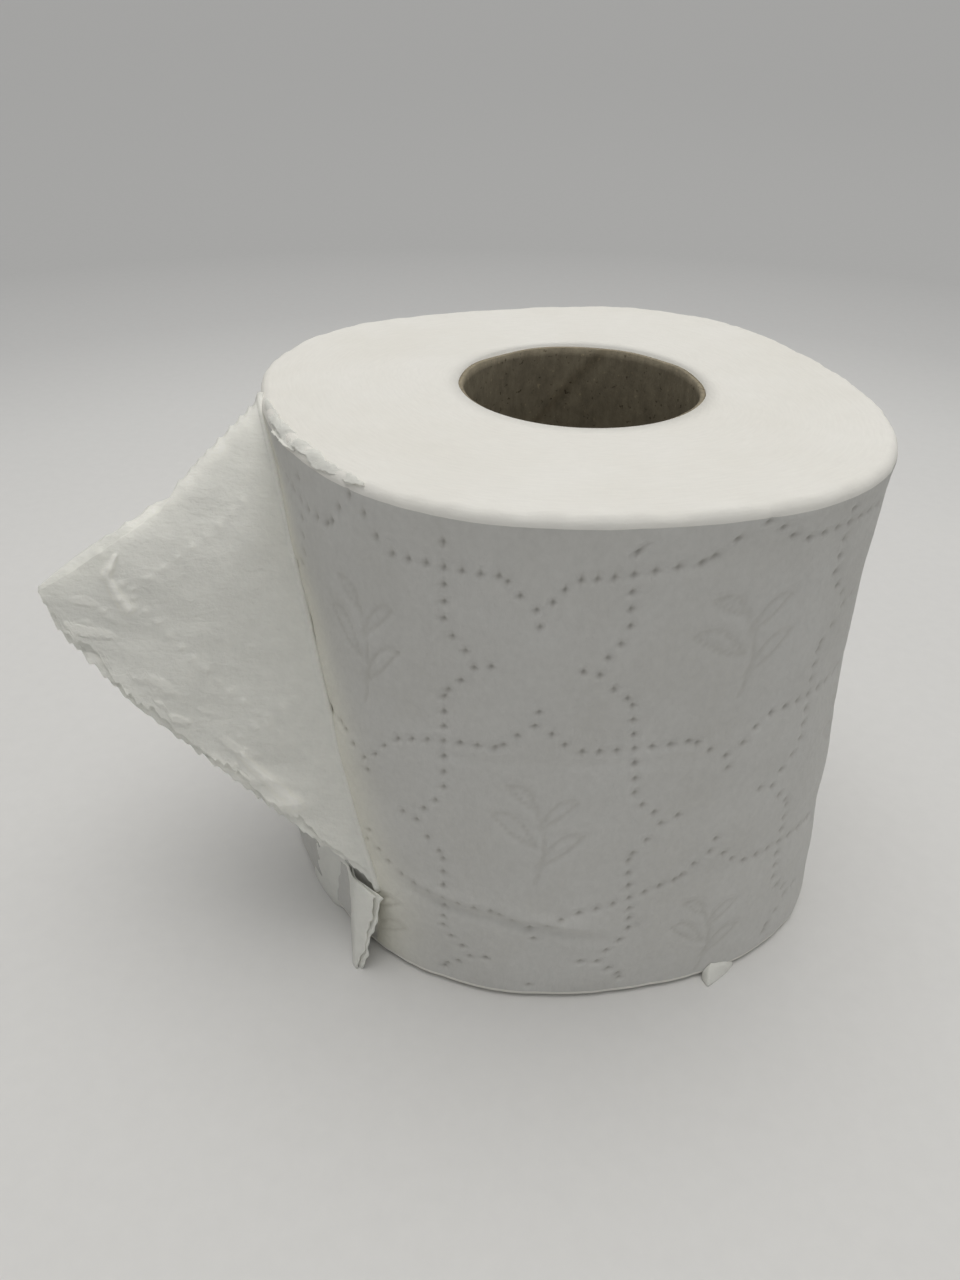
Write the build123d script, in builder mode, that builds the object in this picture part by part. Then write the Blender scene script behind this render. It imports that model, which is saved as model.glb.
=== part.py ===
"""Toilet paper roll standing on its end, with its loose tail folded back.

Millimetres, +Z up. The core tube's axis is the Z axis and the lower end of the roll stands on Z = 0.
The web of paper winds counter-clockwise seen from above, and its tail lies on the -X, -Y side.
"""
from build123d import *
from math import cos, radians, sin
import os

os.makedirs("parts", exist_ok=True)

# ---- driving dimensions -------------------------------------------------------------------------
WEB_WIDTH = 98.0            # width of the paper web, which is the height of the roll
ROLL_RADIUS = 53.4          # mean radius of the wound paper
RIM_ROUNDING = 2.0          # softened edge where the side meets each end
TUBE_OUTER_RADIUS = 21.8    # the paper is wound straight on the tube
TUBE_WALL = 1.0
TUBE_RECESS = 0.4           # the tube stands on the lower end's level and stops this short of the upper one

# A soft roll is not round: lobes (count, amount, direction in degrees) added to the mean radius.
LOBES = ((1, 3.6, 220.0), (2, 1.6, -33.0), (3, 1.0, -47.0), (4, 1.8, -23.0))
# The side is pinched between its ends and spreads at the foot: (height, amount), strongest towards
# PINCH_DIRECTION and straight across the roll from there.
SIDE_PROFILE = ((0.0, 1.2), (24.0, -0.2), (60.0, -1.4), (88.0, -1.1), (WEB_WIDTH, 0.0))
PINCH_DIRECTION = -20.0
OUTLINE_POINTS = 32

# Tail: the last of the web is folded back along a slanting line that follows the side of the roll.
SHEET = 0.6                 # thickness of the two loose plies with their embossing
FOLD_TOP = (193.0, 97.2)    # angle and height where the fold meets the upper rim
FOLD_FOOT = (237.0, 16.5)   # angle and height where the fold meets the torn end of the web
FOLD_SINK = 0.7             # the fold is pressed this deep into the turns below
FOLD_POINTS = 7
TAIL_CORNER = Vector(-84.6, -44.2, 74.6)   # free corner, cut edge above and perforated edge below
CORNER_BLUNT = 0.04         # share of the flap taken off its worn corner
LOOSE_HEIGHT = 16.0         # below this the web stands off the roll and reaches the floor
LOOSE_START_ANGLE = 212.0   # where that part leaves the roll
LOOSE_CREASE = (-37.2, -49.2)
LOOSE_END = (-31.8, -51.2)


# ---- shape of the soft roll ---------------------------------------------------------------------
def side_amount(height):
    """Straight-line reading of SIDE_PROFILE."""
    for (low, low_amount), (high, high_amount) in zip(SIDE_PROFILE, SIDE_PROFILE[1:]):
        if height <= high:
            share = (height - low) / (high - low)
            return low_amount + share * (high_amount - low_amount)
    return SIDE_PROFILE[-1][1]


def roll_radius(angle, height):
    """Distance from the axis to the side of the roll, for an angle in degrees."""
    lobes = sum(amount * cos(count * radians(angle - direction)) for count, amount, direction in LOBES)
    pinch = cos(radians(angle - PINCH_DIRECTION)) ** 2
    return ROLL_RADIUS + lobes + side_amount(height) * pinch


def roll_point(angle, height, sink=0.0):
    """Point on the side of the roll, or sink below it."""
    radius = roll_radius(angle, height) - sink
    return Vector(radius * cos(radians(angle)), radius * sin(radians(angle)), height)


def outline(height):
    """Closed outline of the roll at a height, as points for a periodic spline."""
    step = 360.0 / OUTLINE_POINTS
    return [(roll_point(step * i, height).X, roll_point(step * i, height).Y) for i in range(OUTLINE_POINTS)]


def fold_point(share):
    """Point along the fold, from the upper rim (0) to the torn end (1)."""
    angle = FOLD_TOP[0] + share * (FOLD_FOOT[0] - FOLD_TOP[0])
    height = FOLD_TOP[1] + share * (FOLD_FOOT[1] - FOLD_TOP[1])
    return roll_point(angle, height, FOLD_SINK)


# ---- flap of the tail ---------------------------------------------------------------------------
fold_line = [fold_point(i / (FOLD_POINTS - 1)) for i in range(FOLD_POINTS)]
fold_edge = Edge.make_spline(fold_line)
corner_edge = Edge.make_spline([TAIL_CORNER + (point - TAIL_CORNER) * CORNER_BLUNT for point in fold_line])
flap_face = Face.make_surface_from_curves(fold_edge, corner_edge)

# ---- wound paper --------------------------------------------------------------------------------
with BuildPart() as wound_paper:
    for section_height, _ in SIDE_PROFILE:
        with BuildSketch(Plane.XY.offset(section_height)):
            with BuildLine():
                Spline(*outline(section_height), periodic=True)
            make_face()
    loft()
    rims = wound_paper.edges().filter_by(lambda edge: edge.bounding_box().size.Z < SHEET)
    fillet(rims, RIM_ROUNDING)

    with BuildSketch():
        Circle(TUBE_OUTER_RADIUS)
    extrude(amount=WEB_WIDTH, mode=Mode.SUBTRACT)

    # the flap, one sheet of two plies that stands out from its fold
    thicken(flap_face, amount=SHEET / 2, both=True)

    # the lower part of the web, which leaves the roll before its torn end and stands on the floor
    with BuildSketch():
        with BuildLine():
            leaving = roll_point(LOOSE_START_ANGLE, 0.0, RIM_ROUNDING)
            Polyline((leaving.X, leaving.Y), LOOSE_CREASE, LOOSE_END)
        trace(line_width=SHEET)
    extrude(amount=LOOSE_HEIGHT)

# ---- core tube ----------------------------------------------------------------------------------
with BuildPart() as core_tube:
    with BuildSketch():
        Circle(TUBE_OUTER_RADIUS)
        Circle(TUBE_OUTER_RADIUS - TUBE_WALL, mode=Mode.SUBTRACT)
    extrude(amount=WEB_WIDTH - TUBE_RECESS)

wound_paper.part.label = "wound_paper"
core_tube.part.label = "core_tube"
export_step(wound_paper.part, "parts/wound_paper.step")
export_step(core_tube.part, "parts/core_tube.step")
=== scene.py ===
"""Toilet paper roll standing on its end, with its loose tail folded back.

The file is laid out as a Blender add-on and is run as a script. Shapes are worked out in millimetres in
the frame's axes (+Z up, the core tube on the Z axis, the lower end on Z = 0) and built in metres.
"""
import math

import bpy
import numpy as np
from mathutils import Matrix, Vector


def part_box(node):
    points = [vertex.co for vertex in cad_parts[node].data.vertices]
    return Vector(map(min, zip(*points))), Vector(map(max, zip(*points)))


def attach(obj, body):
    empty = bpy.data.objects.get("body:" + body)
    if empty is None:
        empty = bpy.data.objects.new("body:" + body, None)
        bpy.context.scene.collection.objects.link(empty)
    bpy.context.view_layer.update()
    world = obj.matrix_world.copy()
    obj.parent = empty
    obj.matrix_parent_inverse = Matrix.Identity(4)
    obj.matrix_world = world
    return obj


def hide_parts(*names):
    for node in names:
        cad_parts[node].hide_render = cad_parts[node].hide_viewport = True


bl_info = {
    "name": "Toilet Paper Roll",
    "version": (1, 0, 0),
    "blender": (4, 5, 0),
    "location": "View3D > Sidebar > Paper Roll",
    "description": "Builds a toilet paper roll with an embossed web and a folded tail",
    "category": "Add Mesh",
}

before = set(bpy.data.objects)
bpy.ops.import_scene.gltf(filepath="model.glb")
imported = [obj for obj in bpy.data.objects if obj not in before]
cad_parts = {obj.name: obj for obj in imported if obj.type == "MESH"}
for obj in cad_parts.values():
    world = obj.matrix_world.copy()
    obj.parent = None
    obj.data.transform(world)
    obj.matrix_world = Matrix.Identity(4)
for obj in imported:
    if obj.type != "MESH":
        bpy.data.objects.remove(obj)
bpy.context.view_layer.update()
PAPER_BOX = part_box("wound_paper")
TUBE_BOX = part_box("core_tube")

MM = 0.001

# ---- the soft roll: the shape of its CAD solid, with the upper part shaped more closely ----
WEB_WIDTH = (PAPER_BOX[1].z - PAPER_BOX[0].z) / MM
TUBE_OUTER = TUBE_BOX[1].x / MM
TUBE_HEIGHT = TUBE_BOX[1].z / MM
ROLL_RADIUS = 53.4
TURN = 360.0
RIM_ROUNDING = 1.8
RIM_BEND_STEPS = 6
FLAT_RINGS = 13  # rings of mesh from each rim to the bore
# count, amount and direction of each lobe of the outline
LOBES = ((1, 3.6, 220.0), (2, 1.6, -33.0), (3, 1.0, -47.0), (4, 1.8, -23.0))
# height and how far the pinched side stands out there, and the heights that are averaged
SIDE_PROFILE = ((0.0, 1.2), (24.0, -0.2), (60.0, -1.4), (88.0, -1.1), (98.0, 0.0))
PROFILE_SHIFTS = (-6.0, -2.0, 2.0, 6.0)
PINCH_DIRECTION = -20.0
# angle and how far the upper part of the side stands out there, and the angles that are averaged
UPPER_SHAPE = (
    (0.0, -0.2), (7.0, 0.6), (25.0, 2.1), (46.0, 2.1), (62.0, 0.2), (90.0, -0.9), (118.0, -1.7),
    (139.0, -2.5), (156.0, -1.9), (171.0, -0.9), (183.0, -0.3), (192.0, 0.0), (318.0, 0.0),
    (330.0, -0.6), (345.0, -1.2), (360.0, -0.2),
)
UPPER_SHIFTS = (-8.0, 0.0, 8.0)
UPPER_EVEN = (184.0, 310.0)  # angles between which the upper part is left as it is
UPPER_START = 22.0  # height where the upper part starts to stand out
UPPER_RISE = 60.0
LUMPS = ((26.0, 0.28, 5), (9.0, 0.126, 6))  # size, amount and seed of the soft swellings of the side
CREPE = (3.2, 0.05, 7)
CREPE_STRETCH = (1.0, 1.0, 0.45)
FRAY = ((3.4, 0.09, 8), (1.5, 0.13, 9))  # size, amount and seed of the rims' unevenness
FRAY_REACH = 1.7
RELIEF_FADE = 2.6  # distance from the ends over which the embossing fades
TOP_WAVE = (15.0, 0.16, 11)
TOP_SINK = 0.10
UP = np.array((0.0, 0.0, 1.0))

# ---- embossing of the web: dots along a lattice, with notches or a sprig in alternate cells ----
CELL_STEPS = 44  # mesh steps along one cell
DOT_STEPS = 4  # mesh steps from dot to dot
ROW_STEPS = (36, 80, 124)  # mesh steps from the lower end to each row of dots
HEIGHT_STEPS = 132
LATTICE_START = 54.5  # arc from ARC_ORIGIN to the first column of dots
ARC_SAMPLES = 1441
ARC_ORIGIN = 195.0  # angle where the outer turn leaves the roll, in degrees
CELL_WIDTH = 31.6
# rows of dots: even height, height on the near side, then amount, place and width of its dip and its rise
ROW_HEIGHTS = (
    (27.5, 22.0, 2.0, 43.0, 8.0, 5.5, 76.0, 22.0),
    (59.5, 58.0, -8.0, 34.0, 14.0, 2.0, 92.0, 22.0),
    (91.6, 88.0, 0.0, 0.0, 1.0, 3.6, 72.0, 40.0),
)
NOTCH = ((-8, -1), (-5, -4), (-1, -7), (0, -11), (3, -5), (6, -2))  # dots that turn into an open cell
NOTCH_GAPS = (-6, -2, 2, 6)  # dots of a side that the notch replaces
BESIDE_DOT = 0.36  # depth beside a dot's middle
SPRIG_DEPTH = 0.52
STROKE_WIDTH = 0.017  # half-width of the sprig's strokes, in cells
LEAN_TOP = -4.3  # how far the second column of dots is pulled, below the upper rim
LEAN_FOOT = 1.8  # the same near the floor
LEAN_SPREAD = 15.0
PAINTED_GLOW_WIDTH = (4.5, 3.0)  # painted glow beside the fold, light bounced between the flap and the roll: width at its top, and growth to its foot

# ---- the loose tail ----
FOLD_TOP = (193.0, 97.2)  # angle and height where the fold meets the upper rim
FOLD_FOOT = (237.0, 16.5)  # angle and height where the fold meets the torn end of the web
TAIL_CORNER = np.array((-84.6, -44.2, 74.6))
TAIL_TOP_EDGE = 49.0  # cut edge of the flap, from its corner to the fold
TAIL_TORN_EDGE = 81.0  # perforated edge of the flap, from its corner to the fold
FOLD_BOW = 9.2  # degrees
LOOSE_HEIGHT = 16.0
LOOSE_ANGLES = (211.0, 216.0, 221.0)  # angles where the strip still lies on the roll
# plan of the loose strip on the floor and at its top, from the roll to its torn end
LOOSE_PATH = np.array((
    ((-38.5, -38.1), (-37.4, -41.6)),
    ((-37.0, -44.6), (-36.4, -43.6)),
    ((-35.1, -51.2), (-35.6, -45.2)),
    ((-33.9, -52.0), (-30.4, -49.4)),
))
PLY_THICKNESS = 0.12
PLY_GAP = 0.35  # space between the two plies of the tail
NOSE_RADIUS = 0.5  # bend of the web at the fold
FOLD_SHARE = 0.985  # rows of the flap beyond this share lie at the fold
FLAP_LATTICE = (12.0, 9.0)  # a column and a row of dots on the flap, from its free corner
DOT_RADIUS = 0.6  # of the flap's dots
# wisps that stand up on the flap: start and end (across, down) and width
FLAP_WISPS = (
    ((13.8, 3.0), (11.0, 4.6), 0.8),
    ((11.0, 4.6), (10.2, 11.0), 1.1),
    ((4.6, 43.0), (3.6, 57.0), 1.5),
)
# share of the torn edge and how far it bulges out there
TORN_EDGE_BULGE = ((0.0, 0.0), (0.09, 2.8), (0.3, 3.9), (0.6, 2.2), (0.85, 0.9), (1.0, 0.0))

# ---- the core tube ----
SEAM_PITCH = 150.0  # height of one turn of the board's spiral
SEAM_START = 0.13
SEAM_LIP = 0.224

# ---- camera and light ----
CAMERA_PLACE = (0.0, -179.2, 159.4)
CAMERA_PITCH = 33.09
CAMERA_YAW = -5.47
CAMERA_ROLL = 1.07
CAMERA_LENS = 29.11
SKY_DIRECTION = (0.04, 0.05, 0.997)  # where most of the soft light comes from
SKY_STRENGTH = 3.6
KEY_PLACE = (0.35, 0.55, 0.95)
KEY_TARGET = (0.0, 0.0, 0.05)
KEY_COLOUR = (1.0, 0.985, 0.955)
KEY_SIZE = 0.8
KEY_POWER = 0.6
FLOOR_REACH = 20.0  # metres


def smooth_step(value):
    """Smooth rise from 0 to 1 as value goes from 0 to 1."""
    value = np.clip(value, 0.0, 1.0)
    return value * value * (3.0 - 2.0 * value)


def soft_noise(points, size, seed, waves=14):
    """Smooth noise between about -1 and 1 at points (n, k), with lumps of about that size."""
    draw = np.random.default_rng(seed)
    points = np.asarray(points, float)
    total = np.zeros(points.shape[:-1])
    for _ in range(waves):
        direction = draw.normal(size=points.shape[-1])
        direction *= draw.uniform(0.5, 1.3) * math.pi / (size * np.linalg.norm(direction))
        total += np.cos(points @ direction + draw.uniform(0, 2 * math.pi))
    return total * math.sqrt(2.0 / waves) * 0.7


def roll_radius(angle, height):
    """Distance from the axis to the side of the roll, for angles in degrees."""
    angle, height = np.asarray(angle, float), np.asarray(height, float)
    radius = ROLL_RADIUS + sum(
        amount * np.cos(count * np.radians(angle - direction)) for count, amount, direction in LOBES
    )
    spread = sum(np.interp(height + shift, *zip(*SIDE_PROFILE)) for shift in PROFILE_SHIFTS)
    upper = sum(np.interp((angle + shift) % TURN, *zip(*UPPER_SHAPE)) for shift in UPPER_SHIFTS)
    upper = np.where((angle > UPPER_EVEN[0]) & (angle < UPPER_EVEN[1]), 0.0, upper / len(UPPER_SHIFTS))
    upper = upper * smooth_step((height - UPPER_START) / UPPER_RISE)
    pinch = np.cos(np.radians(angle - PINCH_DIRECTION)) ** 2
    return radius + upper + spread / len(PROFILE_SHIFTS) * pinch


def layered_noise(points, layers):
    """Sum of noise layers, each with its size, amount and seed."""
    return sum(amount * soft_noise(points, size, seed) for size, amount, seed in layers)


def polar(radius, angle, height):
    """Points from a radius, an angle in degrees and a height."""
    turn = np.radians(angle)
    radius, turn, height = np.broadcast_arrays(radius, turn, height)
    return np.stack([radius * np.cos(turn), radius * np.sin(turn), height], -1)


def arc_table():
    """Angles counter-clockwise from ARC_ORIGIN and the arc of the roll's outline up to each."""
    angles = ARC_ORIGIN + np.linspace(0.0, TURN, ARC_SAMPLES)
    points = polar(roll_radius(angles, WEB_WIDTH / 2), angles, 0.0)
    arcs = np.concatenate([[0.0], np.cumsum(np.linalg.norm(np.diff(points, axis=0), axis=1))])
    return angles, arcs


ANGLES, ARCS = arc_table()
PERIMETER = ARCS[-1]
AROUND_STEPS = int(round(PERIMETER * CELL_STEPS / CELL_WIDTH))


# ---- meshes ----
def add_object(name, data):
    """Object of some data, linked to the scene."""
    made = bpy.data.objects.new(name, data)
    bpy.context.scene.collection.objects.link(made)
    return made


def make_piece(name, points, faces, material, attributes=None):
    """Mesh object of points in millimetres, with one material, riding on the root."""
    mesh = bpy.data.meshes.new(name)
    places = (np.asarray(points, float) * MM).tolist()
    mesh.from_pydata(places, [], [list(map(int, face)) for face in faces])
    mesh.polygons.foreach_set("use_smooth", [True] * len(mesh.polygons))
    for label, values in (attributes or {}).items():
        attribute = mesh.attributes.new(label, "FLOAT", "POINT")
        attribute.data.foreach_set("value", np.asarray(values, np.float32))
    mesh.materials.append(material)
    mesh.validate()
    mesh.update()
    piece = add_object(name, mesh)
    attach(piece, "root")
    return piece


def grid_faces(rows, columns, start=0, closed=False):
    """Quads of a grid of points stored row by row; closed joins the last column to the first."""
    across = columns if closed else columns - 1
    row, column = np.meshgrid(np.arange(rows - 1), np.arange(across), indexing="ij")
    beside = (column + 1) % columns
    low, high = row * columns, (row + 1) * columns
    quads = np.stack([low + column, low + beside, high + beside, high + column], -1)
    return (quads.reshape(-1, 4) + start).tolist()


def make_ply(name, points, material, attributes=None):
    """Ply of tissue from a grid of points, with the thickness of its paper, half on each side."""
    faces = grid_faces(*points.shape[:2])
    piece = make_piece(name, points.reshape(-1, 3), faces, material, attributes)
    modifier = piece.modifiers.new("thickness", "SOLIDIFY")
    modifier.thickness = PLY_THICKNESS * MM
    modifier.offset = 0.0
    return piece


# ---- materials ----
WHITE = (1.0, 1.0, 1.0)


def new_material(name, roughness, specular):
    """Node material with only its output and a Principled shader."""
    material = bpy.data.materials.new(name)
    material.use_nodes = True
    nodes, links = material.node_tree.nodes, material.node_tree.links
    nodes.clear()
    output = nodes.new("ShaderNodeOutputMaterial")
    shader = nodes.new("ShaderNodeBsdfPrincipled")
    shader.inputs["Roughness"].default_value = roughness
    shader.inputs["Specular IOR Level"].default_value = specular
    links.new(shader.outputs["BSDF"], output.inputs["Surface"])
    return material, nodes, links, shader, output


def stretched_noise(nodes, links, scale, stretch=(1.0, 1.0, 1.0), detail=3.0, roughness=0.6):
    """Noise in the piece's own space, drawn out by stretch along its axes."""
    place = nodes.new("ShaderNodeTexCoord")
    mapping = nodes.new("ShaderNodeMapping")
    mapping.inputs["Scale"].default_value = stretch
    noise = nodes.new("ShaderNodeTexNoise")
    noise.inputs["Scale"].default_value = scale
    noise.inputs["Detail"].default_value = detail
    noise.inputs["Roughness"].default_value = roughness
    links.new(place.outputs["Object"], mapping.inputs["Vector"])
    links.new(mapping.outputs["Vector"], noise.inputs["Vector"])
    return noise.outputs["Fac"]


def bump_chain(nodes, links, shader, layers):
    """Bump nodes one after another from (height socket, strength, distance) layers."""
    normal = None
    for height, strength, distance in layers:
        bump = nodes.new("ShaderNodeBump")
        bump.inputs["Strength"].default_value = strength
        bump.inputs["Distance"].default_value = distance
        links.new(height, bump.inputs["Height"])
        if normal is not None:
            links.new(normal, bump.inputs["Normal"])
        normal = bump.outputs["Normal"]
    links.new(normal, shader.inputs["Normal"])
    return normal


def colour_ramp(nodes, links, factor, stops):
    """Colour ramp over a factor, from (position, colour) stops."""
    ramp = nodes.new("ShaderNodeValToRGB")
    for element, (position, colour) in zip(ramp.color_ramp.elements, (stops[0], stops[-1])):
        element.position = position
        element.color = (*colour, 1.0)
    for position, colour in stops[1:-1]:
        ramp.color_ramp.elements.new(position).color = (*colour, 1.0)
    links.new(factor, ramp.inputs["Fac"])
    return ramp.outputs["Color"]


def tinted(colour, factor):
    """A colour made lighter or darker."""
    return tuple(min(1.0, channel * factor) for channel in colour[:3])


def attribute_value(nodes, name):
    """Value of a number that is stored on the mesh's points."""
    reader = nodes.new("ShaderNodeAttribute")
    reader.attribute_name = name
    return reader.outputs["Fac"]


def mixed(nodes, links, first, second, blend="MULTIPLY"):
    """Two colour sockets mixed into one."""
    mix = nodes.new("ShaderNodeMix")
    mix.data_type, mix.blend_type = "RGBA", blend
    mix.inputs["Factor"].default_value = 1.0
    links.new(first, mix.inputs["A"])
    links.new(second, mix.inputs["B"])
    return mix.outputs["Result"]


def tissue_side(settings):
    """Creped tissue of the roll's side, with dots pressed in; its colour holds painted shade (a darkened
    paper colour and darker pits) and a painted glow beside the fold.
    """
    material, nodes, links, shader, _ = new_material("tissue_side", 0.95, 0.15)
    paper = settings.shaded_paper_colour
    fibre = stretched_noise(nodes, links, 900.0, (1.0, 1.0, 0.85), detail=4.0)
    cloud = stretched_noise(nodes, links, 60.0)
    base = colour_ramp(nodes, links, fibre, ((0.3, tinted(paper, 0.955)), (0.7, tinted(paper, 1.02))))
    patch = colour_ramp(nodes, links, cloud, ((0.3, (0.955, 0.95, 0.94)), (0.7, WHITE)))
    # painted shade in the pits of the dots, and faintly in the sprig's grooves
    dots = colour_ramp(
        nodes, links, attribute_value(nodes, "emboss"),
        ((0.18, WHITE), (0.55, (0.91, 0.905, 0.895)), (1.0, (0.70, 0.69, 0.665))),
    )
    # painted glow: light bounced between the flap and the roll, lifting and yellowing the side beside the
    # fold; the rest of the side is a little darker
    painted_glow = colour_ramp(
        nodes, links, attribute_value(nodes, "painted_glow"), ((0.0, (0.91, 0.91, 0.91)), (1.0, (1.15, 1.14, 1.065)))
    )
    colour = mixed(nodes, links, mixed(nodes, links, base, patch), mixed(nodes, links, dots, painted_glow))
    links.new(colour, shader.inputs["Base Color"])
    crepe = stretched_noise(nodes, links, 1500.0, (1.0, 1.0, 0.6), detail=2.0)
    bump_chain(nodes, links, shader, [(cloud, 0.25, 0.0006), (fibre, 0.4, 0.0003), (crepe, 0.2, 0.0002)])
    return material


def tissue_edge(settings):
    """Cut edges of the many turns: fine rings that follow the roll's outline."""
    material, nodes, links, shader, _ = new_material("tissue_edge", 0.95, 0.12)
    paper = settings.edge_colour
    place = nodes.new("ShaderNodeCombineXYZ")
    links.new(attribute_value(nodes, "winding"), place.inputs["X"])
    links.new(attribute_value(nodes, "around"), place.inputs["Y"])
    rings = nodes.new("ShaderNodeTexNoise")
    rings.inputs["Scale"].default_value = 1.6
    rings.inputs["Detail"].default_value = 4.0
    links.new(place.outputs["Vector"], rings.inputs["Vector"])
    cloud = stretched_noise(nodes, links, 45.0)
    grain = stretched_noise(nodes, links, 1100.0)
    tones = ((0.3, tinted(paper, 0.975)), (0.7, tinted(paper, 1.01)))
    base = colour_ramp(nodes, links, rings.outputs["Fac"], tones)
    patch = colour_ramp(nodes, links, cloud, ((0.3, (0.96, 0.955, 0.94)), (0.7, WHITE)))
    links.new(mixed(nodes, links, base, patch), shader.inputs["Base Color"])
    bump_chain(
        nodes, links, shader,
        [(cloud, 0.3, 0.0008), (rings.outputs["Fac"], 0.14, 0.0004), (grain, 0.35, 0.0002)],
    )
    return material


def tissue_sheet(settings):
    """Loose ply of tissue that lets some light through, with painted highlights on its standing wisps,
    raised dots and curled cut edge.
    """
    material, nodes, links, shader, output = new_material("tissue_sheet", 0.95, 0.12)
    paper = settings.shaded_paper_colour
    crepe = stretched_noise(nodes, links, 850.0, (0.45, 1.0, 1.0))
    fibre = stretched_noise(nodes, links, 420.0, detail=5.0, roughness=0.7)
    # the shaded paper colour lifted back to the tissue's own white
    base = colour_ramp(nodes, links, fibre, ((0.3, tinted(paper, 1.38)), (0.7, tinted(paper, 1.46))))
    # painted highlights on the standing wisps, raised dots and curled cut edge
    bumps = colour_ramp(
        nodes, links, attribute_value(nodes, "pale"), ((0.0, (0.975, 0.98, 0.97)), (1.0, (1.10, 1.10, 1.09)))
    )
    colour = mixed(nodes, links, base, bumps)
    links.new(colour, shader.inputs["Base Color"])
    normal = bump_chain(nodes, links, shader, [(crepe, 0.5, 0.0004), (fibre, 0.45, 0.0004)])
    through = nodes.new("ShaderNodeBsdfTranslucent")
    links.new(colour, through.inputs["Color"])
    links.new(normal, through.inputs["Normal"])
    mix = nodes.new("ShaderNodeMixShader")
    mix.inputs["Fac"].default_value = 0.30
    links.new(shader.outputs["BSDF"], mix.inputs[1])
    links.new(through.outputs["BSDF"], mix.inputs[2])
    links.new(mix.outputs["Shader"], output.inputs["Surface"])
    return material


def core_board(settings):
    """Grey-brown recycled board with specks of fibre and a spiral seam."""
    material, nodes, links, shader, _ = new_material("core_board", 0.88, 0.2)
    board = settings.board_colour
    fibre = stretched_noise(nodes, links, 500.0, (1.0, 1.0, 0.5), detail=5.0, roughness=0.75)
    specks = stretched_noise(nodes, links, 900.0, detail=2.0)
    tones = ((0.3, tinted(board, 0.72)), (0.55, board[:3]), (0.8, tinted(board, 1.25)))
    base = colour_ramp(nodes, links, fibre, tones)
    dark, pale = (0.45, 0.42, 0.38), (1.5, 1.45, 1.35)
    marks = colour_ramp(nodes, links, specks, ((0.28, dark), (0.36, WHITE), (0.66, WHITE), (0.75, pale)))
    seam = colour_ramp(
        nodes, links, attribute_value(nodes, "seam"), ((0.0, WHITE), (1.0, (0.84, 0.82, 0.79)))
    )
    colour = mixed(nodes, links, mixed(nodes, links, base, marks), seam)
    links.new(colour, shader.inputs["Base Color"])
    bump_chain(nodes, links, shader, [(fibre, 0.4, 0.0003), (specks, 0.3, 0.0002)])
    return material


def plain_floor(settings):
    """Pale matt surface with painted shade that makes it a little darker far from the roll."""
    material, nodes, links, shader, _ = new_material("pale_floor", 0.9, 0.2)
    grain = stretched_noise(nodes, links, 260.0, detail=4.0)
    floor = settings.floor_colour
    place = nodes.new("ShaderNodeTexCoord")
    distance = nodes.new("ShaderNodeVectorMath")
    distance.operation = "LENGTH"
    links.new(place.outputs["Object"], distance.inputs[0])
    # painted shade: the floor darkened with distance, standing in for the dimmer backdrop
    far = colour_ramp(
        nodes, links, distance.outputs["Value"],
        (
            (0.19, WHITE), (0.28, (0.92, 0.925, 0.93)),
            (0.40, (0.74, 0.745, 0.755)), (0.55, (0.63, 0.635, 0.645)),
        ),
    )
    base = colour_ramp(nodes, links, grain, ((0.3, tinted(floor, 0.985)), (0.7, tinted(floor, 1.01))))
    links.new(mixed(nodes, links, base, far), shader.inputs["Base Color"])
    return material


# ---- embossing ----
def row_height(arc, row):
    """Height of a row of dots (0 lowest) at an arc from ARC_ORIGIN; the near side is pulled askew."""
    even, pulled, dip, dip_place, dip_width, rise, rise_place, rise_width = ROW_HEIGHTS[row]
    near = smooth_step((arc - 8.0) / 20.0) * smooth_step((160.0 - arc) / 30.0)
    pulled += dip * np.exp(-(((arc - dip_place) / dip_width) ** 2))
    pulled += rise * smooth_step((arc - rise_place) / rise_width)
    return even + near * (pulled - even)


def lattice_dots(columns, rows):
    """Mesh steps (column, row) of every dot, on a lattice of columns by rows of whole cells."""
    up = range(DOT_STEPS, HEIGHT_STEPS - 1, DOT_STEPS)
    across = range(columns[0] - CELL_STEPS, columns[-1] + CELL_STEPS + 1, DOT_STEPS)
    dots = {(column, row) for column in columns for row in up}
    return dots | {(column, row) for row in rows for column in across}


def cell_dots(dots, left, low):
    """Opens the middle of a cell's four sides and turns their dots into it."""
    middle = CELL_STEPS // 2
    for across, into in ((0, 1), (1, 1)):
        for end, sign in ((0, 1), (CELL_STEPS, -1)):
            for side, depth in NOTCH:
                along, inward = middle + side, end - sign * depth
                spot = (along, inward) if across == 0 else (inward, along)
                dots.add((left + spot[0], low + spot[1]))
            for gap in NOTCH_GAPS:
                spot = (middle + gap, end) if across == 0 else (end, middle + gap)
                dots.discard((left + spot[0], low + spot[1]))


def beside_segment(across, up, start, end):
    """Share along a segment and distance from it, for places in its plane."""
    run, rise = end[0] - start[0], end[1] - start[1]
    share = ((across - start[0]) * run + (up - start[1]) * rise) / (run * run + rise * rise)
    share = np.clip(share, 0.0, 1.0)
    return share, np.hypot(across - start[0] - share * run, up - start[1] - share * rise)


def sprig_strokes():
    """Strokes of a small leafy sprig, as polylines in a cell that is 1 by 1."""
    strokes = [[(0.50 + 0.05 * math.sin(4.0 * t), 0.20 + 0.58 * t) for t in np.linspace(0, 1, 12)]]
    for side, root, size in ((1, 0.32, 0.24), (-1, 0.44, 0.24), (1, 0.56, 0.20), (-1, 0.66, 0.17)):
        for bulge in (0.34, -0.10):
            strokes.append([
                (0.51 + side * size * t, root + size * (0.75 * t + bulge * math.sin(math.pi * t)))
                for t in np.linspace(0, 1, 10)
            ])
    return strokes


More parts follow.
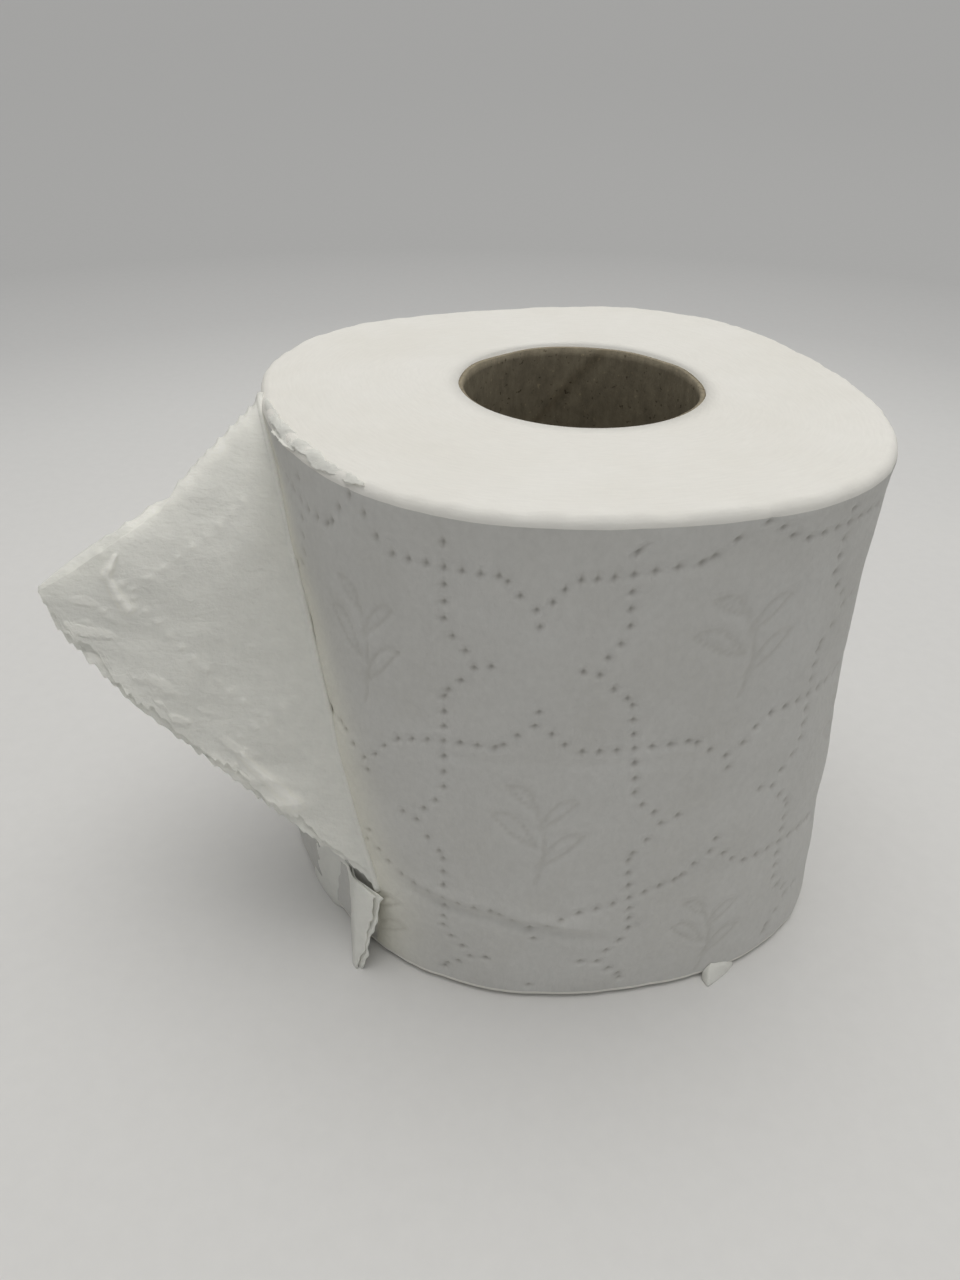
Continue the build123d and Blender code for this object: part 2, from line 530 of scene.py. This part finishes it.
def stroke_depth(across, up):
    """Depth 0 to 1 of the sprig's grooves at places in a cell, both from 0 to 1."""
    depth = np.zeros(np.shape(across))
    for stroke in sprig_strokes():
        for start, end in zip(stroke, stroke[1:]):
            _, gap = beside_segment(across, up, start, end)
            depth = np.maximum(depth, np.exp(-((gap / STROKE_WIDTH) ** 2)))
    return depth


def is_open_cell(cell, row):
    """Cells alternate between open ones with notched sides and ones with a sprig."""
    return (cell + row) % 2 == 1


def emboss_fields(around_steps):
    """Emboss depth (0 to 1) and cell swelling on the mesh's grid of rows by columns."""
    first = int(round(LATTICE_START / PERIMETER * around_steps))
    before = first // CELL_STEPS
    after = (around_steps - first) // CELL_STEPS
    columns = [first + CELL_STEPS * number for number in range(-before, after + 1)]
    rows = [ROW_STEPS[0] - CELL_STEPS, *ROW_STEPS, ROW_STEPS[-1] + CELL_STEPS]
    dots = lattice_dots(columns, ROW_STEPS)
    depth = np.zeros((HEIGHT_STEPS + 1, around_steps))
    swell = np.zeros_like(depth)
    for number, left in enumerate([columns[0] - CELL_STEPS, *columns]):
        for row, low in enumerate(rows[:-1]):
            if is_open_cell(number - before, row):
                cell_dots(dots, left, low)
            across = np.arange(max(left, 0), min(left + CELL_STEPS, around_steps))
            up = np.arange(max(low, 0), min(low + CELL_STEPS, HEIGHT_STEPS + 1))
            if not len(across) or not len(up):
                continue
            places = ((up - low) / CELL_STEPS, (across - left) / CELL_STEPS)
            grid_up, grid_across = np.meshgrid(*places, indexing="ij")
            pillow = (np.sin(math.pi * grid_up) * np.sin(math.pi * grid_across)) ** 0.6
            spot = np.ix_(up, across)
            swell[spot] = np.maximum(swell[spot], pillow)
            if not is_open_cell(number - before, row):
                depth[spot] = np.maximum(depth[spot], SPRIG_DEPTH * stroke_depth(grid_across, grid_up))
    for column, row in dots:
        if 0 <= column < around_steps and 0 < row < HEIGHT_STEPS:
            depth[row, column] = 1.0
            for beside, above in ((1, 0), (-1, 0), (0, 1), (0, -1)):
                spot = (min(max(row + above, 0), HEIGHT_STEPS), (column + beside) % around_steps)
                depth[spot] = max(depth[spot], BESIDE_DOT)
    return depth, swell


# ---- pieces ----
def side_heights(arc):
    """Heights of the mesh's rows at an arc, so that rows of dots lie on rows of the mesh."""
    steps = [0, *ROW_STEPS, HEIGHT_STEPS]
    middle = (float(row_height(arc, row)) for row in range(len(ROW_HEIGHTS)))
    heights = [RIM_ROUNDING, *middle, WEB_WIDTH - RIM_ROUNDING]
    return np.interp(np.arange(HEIGHT_STEPS + 1), steps, heights)


def column_lean(arc, height):
    """How far the second column of dots is pulled along the arc, most below the upper rim."""
    upper = LEAN_TOP * smooth_step((height - 42.0) / 46.0) * smooth_step((WEB_WIDTH - 1.0 - height) / 5.0)
    lower = LEAN_FOOT * smooth_step((38.0 - height) / 22.0) * smooth_step(height / 8.0)
    return (upper + lower) * np.exp(-(((arc - LATTICE_START - CELL_WIDTH) / LEAN_SPREAD) ** 2))


def rim_fray(points, height):
    """Small unevenness of the cut edges of the outer turns, in millimetres."""
    near = np.exp(-((np.minimum(height, WEB_WIDTH - height) / FRAY_REACH) ** 2))
    return near * layered_noise(points, FRAY)


def rim_inset(height):
    """How far the rounded rims pull the side in."""
    near_end = np.minimum(height, WEB_WIDTH - height)
    short = np.clip(RIM_ROUNDING - near_end, 0.0, RIM_ROUNDING)
    return RIM_ROUNDING - np.sqrt(RIM_ROUNDING ** 2 - short ** 2)


def crease_fields(arc, height):
    """Pulled creases of the side: positive stands out, negative is pressed in."""
    line = 22.4 - 0.0045 * (arc - 46.0) ** 2
    along = smooth_step((arc - 44.0) / 8.0) * smooth_step((86.0 - arc) / 10.0)
    crease = 0.55 * np.exp(-(((height - line - 1.0) / 1.6) ** 2))
    crease -= 0.65 * np.exp(-(((height - line + 1.2) / 1.5) ** 2))
    faint_height = 54.0 + 1.6 * np.sin((arc - 50.0) / 16.0)
    faint = smooth_step((arc - 50.0) / 6.0) * smooth_step((100.0 - arc) / 10.0)
    return crease * along - 0.22 * faint * np.exp(-(((height - faint_height) / 0.9) ** 2))


def roll_side(settings, arcs):
    """The embossed side's points, radii, depth of the dots and the painted glow beside the fold, row by row.
    """
    heights = np.stack([side_heights(arc) for arc in arcs], 1)
    depth, swell = emboss_fields(AROUND_STEPS)
    arc_grid = arcs + column_lean(arcs, heights)
    angle_grid = np.interp(arc_grid, ARCS, ANGLES)
    surface = polar(ROLL_RADIUS, angle_grid, heights)
    lumps = layered_noise(surface, LUMPS) + layered_noise(surface * CREPE_STRETCH, (CREPE,))
    ends = smooth_step(np.minimum(heights, WEB_WIDTH - heights) / RELIEF_FADE)
    relief = settings.swell * swell - settings.dot_depth * depth + crease_fields(arc_grid, heights)
    lumps = lumps * (0.3 + 0.7 * ends) + rim_fray(surface, heights)
    radius = roll_radius(angle_grid, heights) + lumps + ends * relief
    # painted glow on the roll beside the fold, fading away from it
    fold_share = np.clip((FOLD_TOP[1] - heights) / (FOLD_TOP[1] - FOLD_FOOT[1]), 0.0, 1.0)
    beside_fold = (angle_grid - fold_angles(fold_share)) * math.radians(1.0) * ROLL_RADIUS
    width = PAINTED_GLOW_WIDTH[0] + PAINTED_GLOW_WIDTH[1] * fold_share
    glow = np.where(beside_fold > -1.0, np.exp(-((beside_fold / width) ** 2)), 0.0)
    return polar(radius, angle_grid, heights), radius, depth * ends, glow


def end_rings(rim, angles, upper):
    """Rings of points from a rim round its bend and across the end to the bore, with their radii."""
    level = WEB_WIDTH if upper else 0.0
    flat_start = rim - RIM_ROUNDING
    rings = []
    for number in range(1, RIM_BEND_STEPS + 1):
        bend = math.radians(90.0 * number / RIM_BEND_STEPS)
        from_end = RIM_ROUNDING * (1.0 - math.sin(bend))
        ring_radius = rim - RIM_ROUNDING * (1.0 - math.cos(bend))
        ring = polar(ring_radius, angles, level - from_end if upper else from_end)
        if upper:
            ring[:, 2] += 0.6 * rim_fray(ring, level) * (1.0 - from_end / RIM_ROUNDING)
        rings.append((ring, ring_radius))
    for share in np.linspace(0.0, 1.0, FLAT_RINGS + 1)[1:] ** 1.4:
        ring_radius = flat_start + (TUBE_OUTER - flat_start) * share
        ring = polar(ring_radius, angles, level)
        if upper:
            worn = rim_fray(ring, level)
            sunk = layered_noise(ring, (TOP_WAVE,)) - TOP_SINK
            ring[:, 2] += sunk * math.sin(math.pi * share) ** 0.4
            ring[:, 2] += 0.6 * worn * math.exp(-6.0 * share)
        rings.append((ring, ring_radius))
    return rings


def build_roll(settings, material, edge_material):
    """The wound turns as one closed body: embossed side, rounded rims and the ends' turn edges."""
    arcs = np.arange(AROUND_STEPS) * PERIMETER / AROUND_STEPS
    angles = np.interp(arcs, ARCS, ANGLES)
    side, radius, depth, glow = roll_side(settings, arcs)
    faces = grid_faces(HEIGHT_STEPS + 1, AROUND_STEPS, closed=True)
    rings, winding, bores = [side.reshape(-1, 3)], [np.zeros(depth.size)], []
    start = depth.size
    index = np.arange(AROUND_STEPS)
    beside = (index + 1) % AROUND_STEPS
    for upper, previous in ((False, 0), (True, HEIGHT_STEPS * AROUND_STEPS)):
        rim = radius[-1] if upper else radius[0]
        for ring, ring_radius in end_rings(rim, angles, upper):
            rings.append(ring)
            winding.append(rim - ring_radius)
            quads = np.stack([previous + index, previous + beside, start + beside, start + index], 1)
            faces += (quads if upper else quads[:, ::-1]).tolist()
            previous, start = start, start + AROUND_STEPS
        bores.append(previous)
    low, high = bores
    faces += np.stack([low + index, high + index, high + beside, low + beside], 1).tolist()
    points = np.concatenate(rings)
    painted_glow, emboss = np.zeros(len(points)), np.zeros(len(points))
    painted_glow[: glow.size] = glow.ravel()
    emboss[: depth.size] = depth.ravel()
    around = np.tile(np.linspace(0.0, 40.0, AROUND_STEPS), len(points) // AROUND_STEPS)
    piece = make_piece(
        "wound_turns", points, faces, material,
        attributes={
            "emboss": emboss, "painted_glow": painted_glow, "winding": np.concatenate(winding) * 1.3, "around": around,
        },
    )
    piece.data.materials.append(edge_material)
    side_faces = HEIGHT_STEPS * AROUND_STEPS
    indices = np.zeros(len(piece.data.polygons), np.int32)
    indices[side_faces:] = 1
    piece.data.polygons.foreach_set("material_index", indices)
    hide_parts("wound_paper")
    return piece


def build_core(settings, material):
    """Spiral-wound board tube, open at both ends, with the lip of its seam."""
    around, up = 180, 60
    angles = np.arange(around) * TURN / around
    heights = np.linspace(0.0, TUBE_HEIGHT, up + 1)
    angle_grid, height_grid = np.meshgrid(angles, heights)
    phase = (angle_grid / TURN + height_grid / SEAM_PITCH + SEAM_START) % 1.0
    seam = np.exp(-((np.minimum(phase, 1.0 - phase) / 0.010) ** 2))
    step = SEAM_LIP * (1.0 - smooth_step(phase / 0.03))
    uneven = 0.10 * soft_noise(polar(20.0, angle_grid, height_grid), 12.0, 21)
    outer = polar(TUBE_OUTER - 0.02, angle_grid, height_grid)
    inner = polar(TUBE_OUTER - settings.tube_wall / MM + 0.10 + uneven - step, angle_grid, height_grid)
    top_edge = 0.12 * soft_noise(polar(20.0, angles, 0.0), 5.0, 22) - 0.15
    inner[-1, :, 2] += top_edge
    outer[-1, :, 2] += top_edge
    count = around * (up + 1)
    points = np.concatenate([outer.reshape(-1, 3), inner.reshape(-1, 3)])
    faces = grid_faces(up + 1, around, closed=True)
    faces += [face[::-1] for face in grid_faces(up + 1, around, start=count, closed=True)]
    for column in range(around):
        beside = (column + 1) % around
        top = up * around
        faces.append([top + column, top + beside, count + top + beside, count + top + column])
        faces.append([column, count + column, count + beside, beside])
    piece = make_piece(
        "core_board_tube", points, faces, material,
        attributes={"seam": np.concatenate([np.zeros(seam.size), seam.ravel()])},
    )
    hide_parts("core_tube")
    return piece


def fold_angles(shares):
    """Angles of the fold in degrees, which bows towards the near side between its ends."""
    straight = FOLD_TOP[0] + shares * (FOLD_FOOT[0] - FOLD_TOP[0])
    return straight + FOLD_BOW * np.sin(math.pi * np.sqrt(np.clip(shares, 0.0, 1.0)))


def fold_points(shares):
    """Points along the fold on the side of the roll, from the upper rim (0) to the torn end (1)."""
    angle = fold_angles(shares)
    height = FOLD_TOP[1] + shares * (FOLD_FOOT[1] - FOLD_TOP[1])
    return polar(roll_radius(angle, height) - rim_inset(height), angle, height)


def flap_dots(across, down):
    """Height 0 to 1 of the raised dots at flat places on the tail, from its free corner."""
    pitch = CELL_WIDTH / 11
    total = np.zeros(np.shape(across))
    for places, others in ((across - FLAP_LATTICE[0], down), (down - FLAP_LATTICE[1], across)):
        line = (places + CELL_WIDTH / 2) % CELL_WIDTH - CELL_WIDTH / 2
        beat = (others / pitch) % 1.0 - 0.5
        total = np.maximum(total, np.exp(-((line / DOT_RADIUS) ** 2) - (beat * pitch / DOT_RADIUS) ** 2))
    return total


def flap_lobes(across, down):
    """Height 0 to 1 of the wisps that stand up near the flap's corner and its torn edge."""
    total = np.zeros(np.shape(across))
    for start, end, width in FLAP_WISPS:
        share, gap = beside_segment(across, down, start, end)
        total = np.maximum(total, np.exp(-((gap / (width * (0.35 + 0.65 * share))) ** 2)))
    return total


def torn_bumps(points, across, down):
    """Height 0 to 1 of the small irregular bumps in the band beside the perforated edge."""
    band = smooth_step((9.5 - across) / 5.0) * smooth_step((down - 3.0) / 4.0)
    short = soft_noise(points * (0.55, 1.0, 1.15), 1.5, 91)
    return band * smooth_step((short - 0.30) / 0.45)


def flap_frame():
    """Directions of the flap: along its cut edge, along its torn edge, and its inner face's normal."""
    top, foot = fold_points(np.array([0.0, 1.0]))
    along_cut = (top - TAIL_CORNER) / np.linalg.norm(top - TAIL_CORNER)
    along_torn = (foot - TAIL_CORNER) / np.linalg.norm(foot - TAIL_CORNER)
    normal = np.cross(along_torn, along_cut)
    normal /= np.linalg.norm(normal)
    return along_cut, along_torn, normal if normal[1] < 0 else -normal


def torn_inset(down, base, seed):
    """How far a ply's perforated edge lies inside the flap's outline, with the small teeth of the tear."""
    place = np.asarray(down, float)[..., None]
    teeth = 0.16 * np.abs(np.sin(down * math.pi / 2.6)) + 0.22 * soft_noise(place, 1.3, seed) + 0.25
    patches = np.clip(soft_noise(place, 7.0, seed + 1), 0.0, 1.0)
    return np.clip(base * (0.55 + 1.1 * patches) + teeth, 0.0, 9.0)


def build_flap(name, material, side, torn_base, cut_steps, seed):
    """One ply of the folded-back tail, from the nose of its fold out to its free corner."""
    along, outward, nose_rows = 124, 150, 7
    along_cut, along_torn, normal = flap_frame()
    rows, flats = [], []

    even = np.linspace(0.0, 1.0, along + 1)
    shares = [np.full(nose_rows, 1.0), 1.0 - (1.0 - 0.012) * np.linspace(0.0, 1.0, outward + 1) ** 1.05]
    shares = np.concatenate(shares)
    cut_fray = soft_noise(TAIL_TOP_EDGE * shares[:, None], 3.2, seed + 8)
    cut_fray *= smooth_step((TAIL_TOP_EDGE * shares - 9.0) / 8.0) * (shares < FOLD_SHARE)
    for number, share in enumerate(shares):
        down = TAIL_TORN_EDGE * share
        across = TAIL_TOP_EDGE * share
        cut_inset = np.interp(across, *zip(*cut_steps)) + 0.22 * abs(cut_fray[number])
        first = min(cut_inset / max(down, 0.1), 0.4)
        last = 1.0 - min(torn_inset(down, torn_base, seed) / max(across, 0.1), 0.35)
        last = 1.0 if share > FOLD_SHARE else last
        spots = first + (last - first) * even
        fold = fold_points(spots)
        turn = np.radians(fold_angles(spots))
        outer = np.stack([np.cos(turn), np.sin(turn), np.zeros_like(turn)], -1)
        arriving = np.cross(outer, np.gradient(fold, axis=0))
        arriving /= np.linalg.norm(arriving, axis=1)[:, None]
        arriving *= np.sign(arriving[along // 2] @ np.array((1.0, -1.0, 0.0)))
        radius = NOSE_RADIUS + side * PLY_GAP * 0.25
        if number < nose_rows:
            bend = math.radians(-90.0 + 180.0 * number / nose_rows)
            lifted = outer * (NOSE_RADIUS * 0.6 + radius * math.sin(bend))
            rows.append(fold + arriving * radius * math.cos(bend) + lifted)
        else:
            place = TAIL_CORNER + share * (fold - TAIL_CORNER)
            away = (1.0 - share) * np.linalg.norm(fold - TAIL_CORNER, axis=1)
            rows.append(place + outer * (NOSE_RADIUS * 0.6 + radius) * np.exp(-away / 2.2)[:, None])
        flats.append(np.stack([across * (1.0 - spots), down * spots], -1))

    points, flat = np.array(rows), np.array(flats)
    across, down = flat[..., 0], flat[..., 1]
    to_fold = np.linalg.norm(points - fold_points(down / TAIL_TORN_EDGE), axis=-1)
    loose = smooth_step(to_fold / 9.0)
    loose[:nose_rows] = 0.0

    bulge = np.interp(down / TAIL_TORN_EDGE, *zip(*TORN_EDGE_BULGE)) * np.exp(-across / 14.0)
    sag = 1.7 * np.exp(-(((across - 25.0) / 12.0) ** 2)) * np.exp(-down / 9.0)
    points = points - along_cut * (bulge * loose)[..., None] + along_torn * (sag * loose)[..., None]

    dots = np.maximum(flap_dots(across, down), torn_bumps(points, across, down)) * loose
    wave = 0.75 * soft_noise(flat, 30.0, 31) + 0.30 * soft_noise(flat, 10.0, 32)
    wave += 0.10 * soft_noise(points * (0.45, 1.0, 1.0), 2.6, 37)
    ragged = np.exp(-across / 5.0)
    wave += 0.15 * ragged * soft_noise(flat, 3.0, seed + 4)
    lobes = flap_lobes(across, down)
    # painted highlight along the curled cut edge
    cut_glow = 0.8 * np.exp(-(((down - 1.0) / 1.1) ** 2)) * smooth_step((across - 12.0) / 10.0)
    cut_glow *= 0.65 + 0.35 * soft_noise(across[..., None], 2.0, seed + 9)
    curl = 0.7 * np.exp(-down / 2.2) * (1.0 + 0.8 * soft_noise(across[..., None], 6.0, seed + 6))
    corner = -2.6 * np.exp(-((across + down) / 5.5))
    gap = side * PLY_GAP * (0.5 + 0.6 * np.exp(-down / 3.0) + 0.5 * ragged)
    height = gap * (0.3 + 0.7 * loose) + loose * (wave + 0.22 * dots + 0.55 * lobes + side * curl + corner)
    points = points + normal * np.where(loose > 0, height, 0.0)[..., None]
    # painted highlights: wisps, raised dots and the cut edge
    pale = np.maximum(np.maximum(lobes, 0.35 * dots), cut_glow).ravel()
    piece = make_ply(name, points, material, {"pale": pale})
    return piece


def build_loose_foot(name, material, reach, shift, seed):
    """One ply of the lower strip of the web, which leaves the roll and stands on the floor."""
    up, length = 48, 70
    rows = []
    for share in np.linspace(0.0, 1.0, up + 1):
        near = 3.0 + 13.0 * share
        on_roll = [polar(roll_radius(angle, near) + 0.3, angle, 0.0)[:2] for angle in LOOSE_ANGLES]
        path = [*on_roll, *(low + share * (high - low) for low, high in LOOSE_PATH)]
        tip = path[-1] - path[-2]
        jag = 0.28 * math.sin(share * 15.0 + seed) + 0.16 * math.sin(share * 41.0 + seed) + reach
        path[-1] = path[-1] + tip / np.linalg.norm(tip) * jag
        gaps = np.concatenate([[0.0], np.cumsum([np.linalg.norm(b - a) for a, b in zip(path, path[1:])])])
        spots = np.linspace(0.0, gaps[-1], length + 1)
        line = np.stack([np.interp(spots, gaps, [point[axis] for point in path]) for axis in (0, 1)], -1)
        for _ in range(3):
            line[1:-1] = (line[:-2] + 2 * line[1:-1] + line[2:]) / 4
        height = share * (LOOSE_HEIGHT + 1.2 - 1.4 * (1.0 - spots / gaps[-1]))
        rows.append(np.column_stack([line, height]))
    points = np.array(rows)
    ripple = 0.16 * soft_noise(points, 5.0, seed) + 0.07 * soft_noise(points, 2.0, seed + 1) + shift
    points[..., 0] += ripple * 0.8
    points[..., 1] += ripple * 0.5
    points[..., 2] = np.maximum(points[..., 2], 0.06)
    piece = make_ply(name, points, material)
    return piece


def build_rim_shred(name, material, start, stop, width, seed, lean=0.0):
    """Torn shred of the outer ply that lies along the upper rim."""
    length, across = 110, 12
    angles = np.linspace(start, stop, length + 1)
    along = np.linspace(0.0, 1.0, length + 1)
    ends = np.sin(math.pi * np.clip(along, 0.015, 0.985)) ** 0.5
    wander = 0.35 * soft_noise(angles[:, None], 6.0, seed + 5)
    ragged = ends * (width + layered_noise(angles[:, None], ((3.0, 0.35, seed), (0.8, 0.16, seed + 1))))
    rows = []
    for share in np.linspace(0.0, 1.0, across + 1):
        over = (share - 0.35) * ragged
        crumple = soft_noise(np.stack([angles * 0.9, over], -1), 2.2, seed + 2)
        inset = lean + wander + over
        height = WEB_WIDTH - 0.35 * np.clip(RIM_ROUNDING - inset, 0.0, 2.0) ** 2 + 0.22 + 0.22 * crumple
        rows.append(polar(roll_radius(angles, WEB_WIDTH) - inset + 0.12 * crumple, angles, height))
    return make_ply(name, np.array(rows), material)


def build_floor_scrap(material):
    """Small torn corner of the outer turn that is folded out at the foot of the roll."""
    across, up = 30, 16
    rows = []
    angles = np.linspace(303.4, 310.4, across + 1)
    along = np.linspace(0.0, 1.0, across + 1)
    spread = np.where(along < 0.22, along / 0.22, (1.0 - along) / 0.78) ** 0.8
    for share in np.linspace(0.0, 1.0, up + 1):
        out = share * (0.12 + 2.1 * spread)
        lift = 3.2 * (1.0 - share) * (0.35 + 0.65 * spread) + 0.4 * spread * math.sin(math.pi * share)
        place = polar(roll_radius(angles, 2.0) + 0.15 + out, angles - 2.0 * share * spread, lift)
        rows.append(place + 0.15 * soft_noise(place, 2.0, 71)[:, None] * UP)
    points = np.array(rows)
    points[..., 2] = np.maximum(points[..., 2], 0.08)
    return make_ply("floor_scrap", points, material)


# ---- stage ----
def camera_axes():
    """Right, up and forward axes of the camera from its pitch, yaw and roll."""
    pitch, yaw, roll = (math.radians(value) for value in (CAMERA_PITCH, CAMERA_YAW, CAMERA_ROLL))
    forward = Vector((math.sin(yaw) * math.cos(pitch), math.cos(yaw) * math.cos(pitch), -math.sin(pitch)))
    right = Vector((math.cos(yaw), -math.sin(yaw), 0.0))
    above = right.cross(forward)
    turned_right = right * math.cos(roll) + above * math.sin(roll)
    turned_above = above * math.cos(roll) - right * math.sin(roll)
    return turned_right, turned_above, forward


def make_camera():
    """Camera at the height and angle of someone looking down at the roll."""
    data = bpy.data.cameras.new("camera")
    data.sensor_fit = "VERTICAL"
    data.sensor_height = 36.0
    data.lens = CAMERA_LENS
    data.clip_start = 0.01
    camera = add_object("camera", data)
    right, above, forward = camera_axes()
    rotation = Matrix((right, above, -forward)).transposed().to_4x4()
    camera.matrix_world = Matrix.Translation(Vector(CAMERA_PLACE) * MM) @ rotation
    bpy.context.scene.camera = camera


def make_key_light():
    """Soft square light that faces the roll."""
    data = bpy.data.lights.new("key", "AREA")
    data.size = KEY_SIZE
    data.energy = KEY_POWER
    data.color = KEY_COLOUR
    light = add_object("key", data)
    light.location = KEY_PLACE
    light.rotation_euler = (Vector(KEY_TARGET) - Vector(KEY_PLACE)).to_track_quat("-Z", "Y").to_euler()


def make_backdrop(settings):
    """Wide floor that reaches the horizon."""
    points = [(FLOOR_REACH * x, FLOOR_REACH * y, 0.0) for x, y in ((-1, -1), (1, -1), (1, 1), (-1, 1))]
    mesh = bpy.data.meshes.new("floor")
    mesh.from_pydata(points, [], [(0, 1, 2, 3)])
    mesh.materials.append(plain_floor(settings))
    floor = add_object("floor", mesh)


def make_world():
    """Soft light from overhead, above a dim grey horizon."""
    world = bpy.data.worlds.new("studio")
    world.use_nodes = True
    nodes, links = world.node_tree.nodes, world.node_tree.links
    background = nodes["Background"]
    place = nodes.new("ShaderNodeTexCoord")
    toward = nodes.new("ShaderNodeVectorMath")
    toward.operation = "DOT_PRODUCT"
    toward.inputs[1].default_value = SKY_DIRECTION
    links.new(place.outputs["Generated"], toward.inputs[0])
    overhead = colour_ramp(
        nodes, links, toward.outputs["Value"],
        ((0.76, (0.0, 0.0, 0.0)), (0.84, (0.14, 0.14, 0.14)), (0.94, (0.80, 0.79, 0.77))),
    )
    parts = nodes.new("ShaderNodeSeparateXYZ")
    links.new(place.outputs["Generated"], parts.inputs["Vector"])
    horizon = colour_ramp(
        nodes, links, parts.outputs["Z"],
        ((0.0, (0.100, 0.101, 0.102)), (0.45, (0.086, 0.087, 0.087)), (1.0, (0.080, 0.080, 0.079))),
    )
    links.new(mixed(nodes, links, overhead, horizon, "LIGHTEN"), background.inputs["Color"])
    background.inputs["Strength"].default_value = SKY_STRENGTH
    bpy.context.scene.world = world


# ---- add-on ----
class PaperRollSettings(bpy.types.PropertyGroup):
    """Sizes and colours that a user would change."""

    # painted shade: the tissue's colour darkened for the roll's side, which stands in shade; the loose plies
    # lift it back to the tissue's own white
    shaded_paper_colour: bpy.props.FloatVectorProperty(
        name="Paper", description="Colour of the tissue", subtype="COLOR", size=3,
        default=(0.68, 0.675, 0.65), min=0.0, max=1.0,
    )
    edge_colour: bpy.props.FloatVectorProperty(
        name="Paper edge", description="Colour of the cut edges on the roll's ends", subtype="COLOR", size=3,
        default=(0.84, 0.825, 0.78), min=0.0, max=1.0,
    )
    board_colour: bpy.props.FloatVectorProperty(
        name="Board", description="Colour of the core tube's board", subtype="COLOR", size=3,
        default=(0.30, 0.262, 0.190), min=0.0, max=1.0,
    )
    floor_colour: bpy.props.FloatVectorProperty(
        name="Floor", description="Colour of the floor", subtype="COLOR", size=3,
        default=(0.675, 0.67, 0.658), min=0.0, max=1.0,
    )
    dot_depth: bpy.props.FloatProperty(
        name="Dot depth", description="Depth of the embossed dots, in millimetres", default=0.6,
        min=0.0, max=1.0,
    )
    swell: bpy.props.FloatProperty(
        name="Cell swelling", description="How far each embossed cell swells, in millimetres", default=0.28,
        min=0.0, max=1.5,
    )
    tube_wall: bpy.props.FloatProperty(
        name="Tube wall", description="Thickness of the core tube's board", default=0.001, unit="LENGTH",
        min=0.0003, max=0.003,
    )


class PAPERROLL_OT_wound_turns(bpy.types.Operator):
    """Builds the wound turns with their embossed side"""

    bl_idname = "paper_roll.wound_turns"
    bl_label = "Wound Turns"

    def execute(self, context):
        settings = context.scene.paper_roll
        build_roll(settings, tissue_side(settings), tissue_edge(settings))
        return {"FINISHED"}


class PAPERROLL_OT_core_tube(bpy.types.Operator):
    """Builds the board tube in the middle"""

    bl_idname = "paper_roll.core_tube"
    bl_label = "Core Tube"

    def execute(self, context):
        settings = context.scene.paper_roll
        build_core(settings, core_board(settings))
        return {"FINISHED"}


class PAPERROLL_OT_tail(bpy.types.Operator):
    """Builds the plies of the folded-back tail and the strip that stands on the floor"""

    bl_idname = "paper_roll.tail"
    bl_label = "Tail"

    def execute(self, context):
        material = tissue_sheet(context.scene.paper_roll)
        shreds = [
            build_rim_shred("rim_shred_long", material, 197.0, 238.0, 1.7, seed=81, lean=0.5),
            build_rim_shred("rim_shred_short", material, 203.0, 219.0, 1.3, seed=84, lean=-0.1),
            build_floor_scrap(material),
        ]
        build_flap(
            "tail_outer_ply", material, side=-1.0, torn_base=0.0,
            cut_steps=((0.0, 0.0), (24.0, 0.0), (29.0, 1.4), (49.0, 0.4)), seed=31,
        )
        build_flap(
            "tail_inner_ply", material, side=1.0, torn_base=1.1,
            cut_steps=((0.0, 0.4), (8.0, 1.2), (25.0, 1.1), (28.0, 0.0), (49.0, 0.0)), seed=51,
        )
        build_loose_foot("foot_outer_ply", material, reach=0.0, shift=0.0, seed=41)
        build_loose_foot("foot_inner_ply", material, reach=0.7, shift=0.4, seed=61)
        return {"FINISHED"}


class PAPERROLL_OT_stage(bpy.types.Operator):
    """Builds the floor, the lights and the camera"""

    bl_idname = "paper_roll.stage"
    bl_label = "Stage"

    def execute(self, context):
        make_backdrop(context.scene.paper_roll)
        make_key_light()
        make_world()
        make_camera()
        context.scene.view_settings.view_transform = "Standard"
        return {"FINISHED"}


class PAPERROLL_PT_panel(bpy.types.Panel):
    """Lists the steps that build the roll"""

    bl_label = "Paper Roll"
    bl_idname = "PAPERROLL_PT_panel"
    bl_space_type = "VIEW_3D"
    bl_region_type = "UI"
    bl_category = "Paper Roll"

    def draw(self, context):
        settings = context.scene.paper_roll
        for name in PaperRollSettings.__annotations__:
            self.layout.prop(settings, name)
        for operator in OPERATORS:
            self.layout.operator(operator.bl_idname)


OPERATORS = (PAPERROLL_OT_wound_turns, PAPERROLL_OT_core_tube, PAPERROLL_OT_tail, PAPERROLL_OT_stage)
CLASSES = (PaperRollSettings, *OPERATORS, PAPERROLL_PT_panel)


def register():
    """Registers the classes and the scene's settings."""
    for entry in CLASSES:
        bpy.utils.register_class(entry)
    bpy.types.Scene.paper_roll = bpy.props.PointerProperty(type=PaperRollSettings)


def unregister():
    """Removes what register() added."""
    del bpy.types.Scene.paper_roll
    for entry in reversed(CLASSES):
        bpy.utils.unregister_class(entry)


def main():
    """Builds the whole scene."""
    register()
    bpy.ops.paper_roll.wound_turns()
    bpy.ops.paper_roll.core_tube()
    bpy.ops.paper_roll.tail()
    bpy.ops.paper_roll.stage()


if __name__ == "__main__":
    main()
